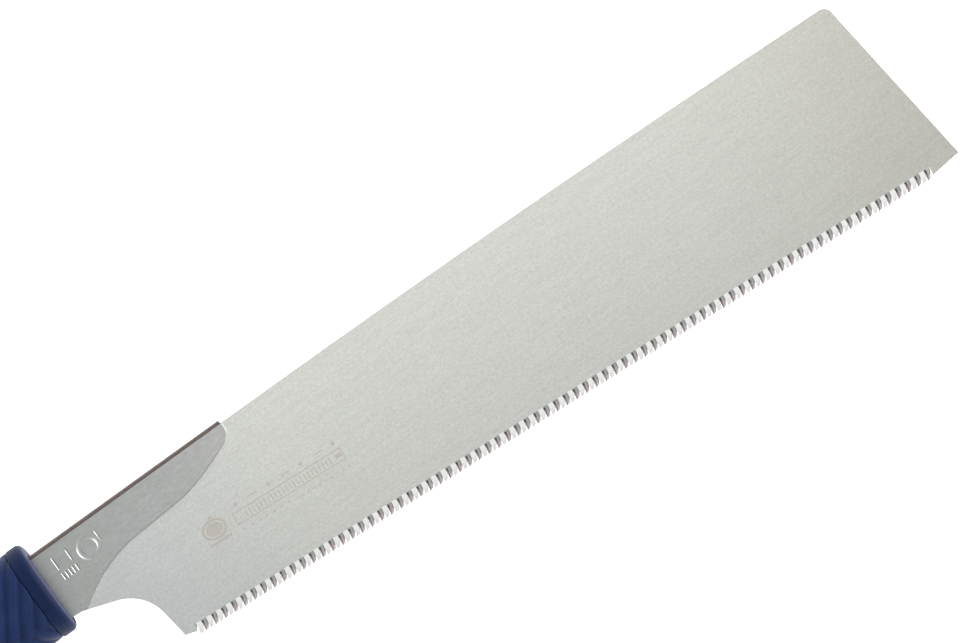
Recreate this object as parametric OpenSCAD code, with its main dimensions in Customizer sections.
// Japanese pull saw: a replaceable blade held in a short folded steel back, on a straight handle
// with a rubber grip. The saw lies flat on its side: +X runs from the handle to the tip,
// +Y from the teeth to the spine, and +Z is up, out of the blade's face.
// Every piece is drawn in the saw's own frame, where X = 0 is the front face of the handle,
// Y = 0 is the handle's axis and Z = 0 is the middle of the blade's thickness. place() then
// moves it so that the origin lies on the ground under the middle of the saw.

/* [Blade] */
// Thickness of the blade steel
blade_t = 0.6; // [0.4:0.05:0.8]
// Height of the blade's back above the handle's axis
back_y = 9.5; // [9:0.1:9.5]
// Distance from the handle to the toe, the far corner of the toothed edge
toe_x = 301.6; // [298:0.1:310]
// Drop of the toe below the handle's axis
toe_drop = 54.9; // [53:0.1:56]
// Distance from the handle to the upper corner of the tip
tip_x = 294.8; // [290:0.1:296]
// Height of the upper corner of the tip above the handle's axis
tip_y = 4.9; // [3:0.1:7]
// Radius of the upper corner of the tip
tip_r = 3; // [1:0.5:5]

/* [Teeth] */
// Number of pairs of teeth, one filed from above and one from below
tooth_pairs = 75; // [70:80]
// Depth of the teeth below the root line
tooth_depth = 3.4; // [2.8:0.1:3.6]
// Sideways shift of a filed edge between the two faces of the blade
bevel_w = 0.7; // [0.4:0.05:0.8]
// Angle by which each tooth is bent out of the blade
set_angle = 2.5; // [0.5:0.5:4]

/* [Back] */
// Thickness of the folded sheet
sheet_t = 1; // [0.9:0.1:1.2]
// Height of the spine above the handle's axis
spine_y = 10.6; // [10.6:0.1:11]
// Reach of the folded back in front of the handle
back_reach = 70.9; // [69:0.1:74]
// Depth of the ornament stamped into its face
stamp_depth = 0.25; // [0.15:0.05:0.4]

/* [Handle] */
// Length of the handle
handle_len = 300; // [280:340]
// Height of the front collar
collar_h = 31.4; // [31:0.1:34]
// Length of the front collar
collar_len = 5.4; // [5:0.1:7]
// Thickness of the handle
handle_t = 24; // [23:0.5:28]
// Height of the handle at the butt
butt_h = 36; // [34:0.5:42]
// Length of the butt cap
butt_len = 32; // [30:40]
// Diameter of the hanging hole
hang_d = 7; // [5:0.5:8]

/* [Blade change] */
// Angle at which the blade is drawn, swung down out of the folded back
swing = 0; // [0:0.5:8]

/* [Hidden] */
$fn = 96;

STEEL = [0.78, 0.79, 0.78];
BACK_STEEL = [0.66, 0.68, 0.68];
PIN_STEEL = [0.50, 0.51, 0.53];
WOOD = [0.74, 0.58, 0.38];
NAVY = [0.14, 0.18, 0.36];
DARK_NAVY = [0.11, 0.14, 0.30];

// Clearance of a moving fit, clearance of a pressed fit, and how far a cut runs past a face
play = 0.05;
slip = 0.02;
past = 1;

// Toothed edge: its root line runs straight from the first gullet to the last
root_start = [29.8, -35.95];
root_end = [toe_x - 9.9, 1.4 - toe_drop];
row_angle = atan2(root_end.y - root_start.y, root_end.x - root_start.x);
tooth_count = 2 * tooth_pairs;
pitch = norm(root_end - root_start) / tooth_count;
// Lean of a tooth's front and back edges towards the handle, per millimetre of depth
front_lean = 0.1;
back_lean = 0.52;
// Depth at which the two edges of the wide face would meet
sharp_depth = (pitch + bevel_w) / (back_lean - front_lean);
// The teeth start to bend this far above the root line
bend_y = 0.3;
// Slopes of the third bevel, ground across the point
point_slope = 35;
point_tilt = 18;

// Pin that the blade's tang hooks on, and the pin through the tail of the folded back
hinge = [-14, -1];
hinge_d = 4;
tail_pin = [-49, 0];
tail_pin_d = 3;
pin_len = 16.4;
hook_lean = 20;

// Folded back: two sheets with the blade between them, joined along the spine
slot_w = blade_t + 2 * play;
fold_t = slot_w + 2 * sheet_t;
slot_top = spine_y - sheet_t;
tail_x = -58;
tail_h = 10;

// Handle: every cross-section is a flat bar with a half-round on either side
core_t = 17;
core_h = 26;
core_x = -2.5;
sleeve_h = 31;
sleeve_x = -0.2 - collar_len;
sleeve_end = butt_len - handle_len;
core_end = sleeve_end - 8;
flare_x = -190;
hang_x = 13 - handle_len;
swing_room = -14;

// Box of the whole saw, whose bottom middle becomes the origin
lowest_y = root_start.y + (tooth_count - 1) * pitch * sin(row_angle)
    - tooth_depth * cos(row_angle);
middle = [(toe_x - handle_len) / 2, (lowest_y + butt_h / 2) / 2, -handle_t / 2];

module place() {
    translate(-middle) children();
}

// Points on the arc from a to b that stands sag to the left of the straight line
function bow(a, b, sag, steps = 12) =
    let (
        chord = norm(b - a),
        along = (b - a) / chord,
        left = [-along.y, along.x],
        r = (chord * chord / 4 + sag * sag) / (2 * sag),
        half = asin(chord / (2 * r)),
        centre = (a + b) / 2 + left * (sag - r)
    )
    [for (i = [0:steps])
        let (turn = half * (2 * i / steps - 1))
        centre + r * (along * sin(turn) + left * cos(turn))];

// Points on the arc of radius r that rounds the corner c between a and b
function corner(a, c, b, r, steps = 8) =
    let (
        to_a = (a - c) / norm(a - c),
        to_b = (b - c) / norm(b - c),
        half = acos(to_a * to_b) / 2,
        reach = r / tan(half),
        side = cross(to_a, to_b) > 0 ? 1 : -1
    )
    bow(c + to_a * reach, c + to_b * reach, side * r * (1 - sin(half)), steps);

// Swings its children about the catch pin, as the blade swings when it is changed
module swung() {
    translate([hinge.x, hinge.y, 0]) rotate([0, 0, -swing])
        translate([-hinge.x, -hinge.y, 0]) children();
}

module bore_at(at, d) {
    translate([at.x, at.y, -handle_t]) cylinder(d = d, h = 2 * handle_t);
}

// Blade

module blade_plate() {
    shoulder = [-9, back_y];
    back_turn = [72, back_y];
    back_sag = 1.18;
    tip = [tip_x, tip_y];
    before_tip = tip + [-20, 0.84];
    toe = [toe_x, -toe_drop];
    toe_start = toe + [-10.3, -1.1];
    heel_end = [28.4, -37.8];
    heel = [24.8, -36.7];
    heel_turn = [23.4, -26.5];
    heel_run = [14.3, -16.1];
    tang = [[-10, -7.8], [-24, -5], [-24, 3.5]];
    tip_round = corner(before_tip, tip, toe, tip_r);
    linear_extrude(blade_t, center = true) polygon(concat(
        [shoulder],
        bow(back_turn, tip_round[0], back_sag, 24),
        tip_round,
        [toe, toe_start, root_end, root_start, heel_end, heel],
        bow(heel_turn, heel_run, -1.8),
        tang
    ));
}

// Open hook in the tang that drops over the catch pin
module tang_hook() {
    d = hinge_d + 2 * play;
    bore_at(hinge, d);
    translate([hinge.x, hinge.y, 0]) rotate([0, 0, -hook_lean])
        translate([-d / 2, -12, -blade_t]) cube([d, 12, 2 * blade_t]);
}

// Bar whose left and right faces are a tooth's front and back edges, leaned through the steel
module filed_bar(x, lean) {
    wide = pitch + bevel_w;
    across = cos(lean);
    rotate([0, lean, 0]) linear_extrude(4 * blade_t, center = true) polygon([
        [(x + front_lean * bend_y) * across, bend_y],
        [(x + wide + back_lean * bend_y) * across, bend_y],
        [(x - front_lean * sharp_depth) * across, -sharp_depth]
    ]);
}

// One tooth from its front gullet on, filed from above and bent down
module tooth() {
    filing = atan2(bevel_w, blade_t);
    point = [-bevel_w / 2 - front_lean * tooth_depth, -tooth_depth, -blade_t / 2];
    block = 4 * tooth_depth;
    translate([0, bend_y, 0]) rotate([set_angle, 0, 0]) translate([0, -bend_y, 0])
        difference() {
            intersection() {
                filed_bar(0, filing);
                filed_bar(-bevel_w, -filing);
                cube([block, block, blade_t], center = true);
            }
            translate(point) rotate([-point_slope, 0, point_tilt])
                translate([-block / 2, -block, -block / 2]) cube(block);
        }
}

// Teeth are filed and bent from alternate sides, starting with one bent up
module teeth() {
    translate([root_start.x, root_start.y, 0]) rotate([0, 0, row_angle])
        for (i = [0:tooth_count - 1])
            translate([i * pitch, 0, 0]) mirror([0, 0, i % 2 == 0 ? 1 : 0]) tooth();
}

module blade() {
    color(STEEL) place() swung() {
        difference() {
            blade_plate();
            tang_hook();
        }
        teeth();
    }
}

// Folded back

module holder_outline() {
    mouth = [0, -12.2];
    step = [-24, -11];
    front_top = [back_reach, spine_y];
    front_low = [back_reach + 0.6, 5.1];
    lip_front = [49.1, -2.1];
    lip_back = [28.3, -3.4];
    foot = [5.6, -12.6];
    nose = corner(front_top, front_low, lip_front, 3.6);
    polygon(concat(
        [[step.x, spine_y], front_top],
        nose,
        bow(nose[len(nose) - 1], lip_front, 0.56),
        bow(lip_back, foot, -1.65),
        [mouth, step, [tail_x, -tail_h / 2], [tail_x, tail_h / 2]]
    ));
}

// Section across the fold, with the slot open downwards
module fold_section() {
    deep = 2 * toe_drop;
    difference() {
        union() {
            translate([slot_top - deep, -fold_t / 2])
                square([deep + sheet_t - fold_t / 2, fold_t]);
            translate([spine_y - fold_t / 2, 0]) circle(d = fold_t);
        }
        translate([slot_top - 2 * deep, -slot_w / 2]) square([2 * deep, slot_w]);
    }
}

// Ornament pressed into the upper face: a ring, and beside it a small frame over a row of ribs
module stamp() {
    punch = 3;
    ring = [16.8, 2.2];
    ring_r = 3.2;
    frame_low = [5.4, 2];
    frame_high = [10.4, 6];
    rib_count = 5;
    rib_pitch = (frame_high.x - frame_low.x) / (rib_count - 1);
    rib_foot = -1.6;
    rib_head = 0.4;
    bar_x = 20.9;
    translate([ring.x, ring.y, fold_t / 2 + punch / 2 - stamp_depth])
        rotate_extrude() translate([ring_r, 0]) circle(d = punch, $fn = 24);
    for (y = [frame_low.y, frame_high.y]) groove([frame_low.x, y], [frame_high.x, y]);
    for (x = [frame_low.x, frame_high.x]) groove([x, frame_low.y], [x, frame_high.y]);
    for (i = [0:rib_count - 1])
        groove(frame_low + [i * rib_pitch, rib_foot - frame_low.y],
            frame_low + [i * rib_pitch, rib_head - frame_low.y]);
    groove([bar_x, 1.8], [bar_x, 5.2]);
}

// Shallow round-bottomed groove from a to b
module groove(a, b) {
    punch = 1;
    along = atan2(b.y - a.y, b.x - a.x);
    height = fold_t / 2 + punch / 2 - stamp_depth / 2;
    translate([a.x, a.y, height]) rotate([0, 90, along])
        cylinder(d = punch, h = norm(b - a), $fn = 24);
    for (end = [a, b]) translate([end.x, end.y, height]) sphere(d = punch, $fn = 24);
}

module blade_holder() {
    color(BACK_STEEL) place() difference() {
        intersection() {
            linear_extrude(fold_t, center = true) holder_outline();
            translate([tail_x - past, 0, 0]) rotate([90, 0, 90])
                linear_extrude(back_reach - tail_x + 2 * past) fold_section();
        }
        bore_at(hinge, hinge_d + 2 * slip);
        bore_at(tail_pin, tail_pin_d + 2 * slip);
        stamp();
    }
}

// Plate that keeps the two sheets apart behind the blade's tang
module spacer_plate() {
    front = [-37, 15];
    back = [tail_x + 0.5, tail_h - 1];
    color(PIN_STEEL) place() difference() {
        linear_extrude(slot_w - 2 * slip, center = true) polygon([
            [front.x, -front.y / 2], [back.x, -back.y / 2],
            [back.x, back.y / 2], [front.x, front.y / 2]
        ]);
        bore_at(tail_pin, tail_pin_d + 2 * slip);
    }
}

module cross_pin(at, d) {
    translate([at.x, at.y, -pin_len / 2]) cylinder(d = d, h = pin_len);
}

module catch_pin() {
    color(PIN_STEEL) place() cross_pin(hinge, hinge_d);
}

module tang_pin() {
    color(PIN_STEEL) place() cross_pin(tail_pin, tail_pin_d);
}

// Handle

// Sweeps a half profile, drawn as distance from the axis against X, round a flat-sided section
module flat_round(height, thick) {
    flat = height - thick;
    for (side = [-1, 1])
        translate([0, side * flat / 2, 0]) rotate([0, 90, 0]) rotate_extrude() children();
    rotate([-90, 0, 0]) rotate([0, 0, -90]) linear_extrude(flat, center = true) {
        children();
        mirror([1, 0]) children();
    }
}

// Straight length of that section from x0 to x1
module flat_bar(x0, x1, height, thick) {
    flat_round(height, thick) translate([0, x0]) square([thick / 2, x1 - x0]);
}

module handle_core() {
    gap = play;
    color(WOOD) place() difference() {
        flat_bar(core_end, core_x, core_h, core_t);
        linear_extrude(fold_t + 2 * gap, center = true) polygon([
            [past, spine_y + gap], [-24, spine_y + gap],
            [tail_x - gap, tail_h / 2 + gap], [tail_x - gap, -tail_h / 2 - gap],
            [-24, -11 - gap], [-19, swing_room], [past, swing_room]
        ]);
        bore_at(hinge, hinge_d + 2 * slip);
        bore_at(tail_pin, tail_pin_d + 2 * slip);
    }
}

module front_collar() {
    half = handle_t / 2;
    front_r = 2;
    back_r = 0.5;
    rim = concat(
        [[0, -collar_len]],
        corner([0, -collar_len], [half, -collar_len], [half, 0], back_r),
        corner([half, -collar_len], [half, 0], [0, 0], front_r),
        [[0, 0]]
    );
    color(NAVY) place() difference() {
        flat_round(collar_h, handle_t) polygon(rim);
        flat_bar(-collar_len - past, core_x, core_h + 2 * slip, core_t + 2 * slip);
        translate([-collar_len - past, swing_room, -fold_t / 2 - play])
            cube([collar_len + 2 * past, spine_y + play - swing_room, fold_t + 2 * play]);
    }
}

// Gentle widening of the grip towards the butt: each half-round side follows a large arc
module flare() {
    centre_y = (sleeve_h - handle_t) / 2;
    run = flare_x - sleeve_end;
    rise = (butt_h - sleeve_h) / 2;
    bend_r = (run * run + rise * rise) / (2 * rise);
    edge_sag = bend_r * (1 - cos(asin(run / bend_r) / 2));
    edge = bow([flare_x, centre_y], [sleeve_end, centre_y + rise], edge_sag, 24);
    linear_extrude(handle_t, center = true) polygon(concat(
        edge,
        [for (i = [len(edge) - 1:-1:0]) [edge[i].x, -edge[i].y]]
    ));
    for (side = [0, 1]) mirror([0, side, 0]) intersection() {
        translate([flare_x, centre_y + bend_r, 0])
            rotate_extrude($fn = 1200) translate([bend_r, 0]) circle(d = handle_t, $fn = 96);
        translate([sleeve_end, -handle_t, -handle_t]) cube([run, 3 * handle_t, 2 * handle_t]);
    }
}

module grip_sleeve() {
    half = handle_t / 2;
    lip_r = 0.8;
    front = concat(
        [[0, flare_x], [half, flare_x]],
        corner([half, flare_x], [half, sleeve_x], [0, sleeve_x], lip_r),
        [[0, sleeve_x]]
    );
    color(NAVY) place() difference() {
        union() {
            flat_round(sleeve_h, handle_t) polygon(front);
            flare();
        }
        flat_bar(sleeve_end - past, past, core_h + 2 * slip, core_t + 2 * slip);
    }
}

module butt_cap() {
    half = butt_h / 2;
    joint = 0.2;
    butt_r = 11;
    edge_r = 6;
    mouth_w = 1;
    start = sleeve_end - joint;
    side_view = concat(
        [[start, handle_t / 2], [start, -handle_t / 2]],
        corner([start, -handle_t / 2], [-handle_len, -handle_t / 2],
            [-handle_len, handle_t / 2], edge_r),
        corner([-handle_len, -handle_t / 2], [-handle_len, handle_t / 2],
            [start, handle_t / 2], edge_r)
    );
    plan = concat(
        [[start, half], [start, -half]],
        corner([start, -half], [-handle_len, -half], [-handle_len, half], butt_r, 16),
        corner([-handle_len, -half], [-handle_len, half], [start, half], butt_r, 16)
    );
    color(DARK_NAVY) place() difference() {
        intersection() {
            linear_extrude(2 * handle_t, center = true) polygon(plan);
            rotate([90, 0, 0]) linear_extrude(2 * butt_h, center = true) polygon(side_view);
            flat_bar(-handle_len - past, start + past, butt_h, handle_t);
        }
        flat_bar(core_end - slip, 0, core_h + 2 * slip, core_t + 2 * slip);
        bore_at([hang_x, 0], hang_d);
        for (side = [0, 1]) mirror([0, 0, side])
            translate([hang_x, 0, handle_t / 2 - mouth_w])
                cylinder(d1 = hang_d, d2 = hang_d + 4 * mouth_w, h = 2 * mouth_w);
    }
}

blade();
blade_holder();
spacer_plate();
catch_pin();
tang_pin();
handle_core();
front_collar();
grip_sleeve();
butt_cap();
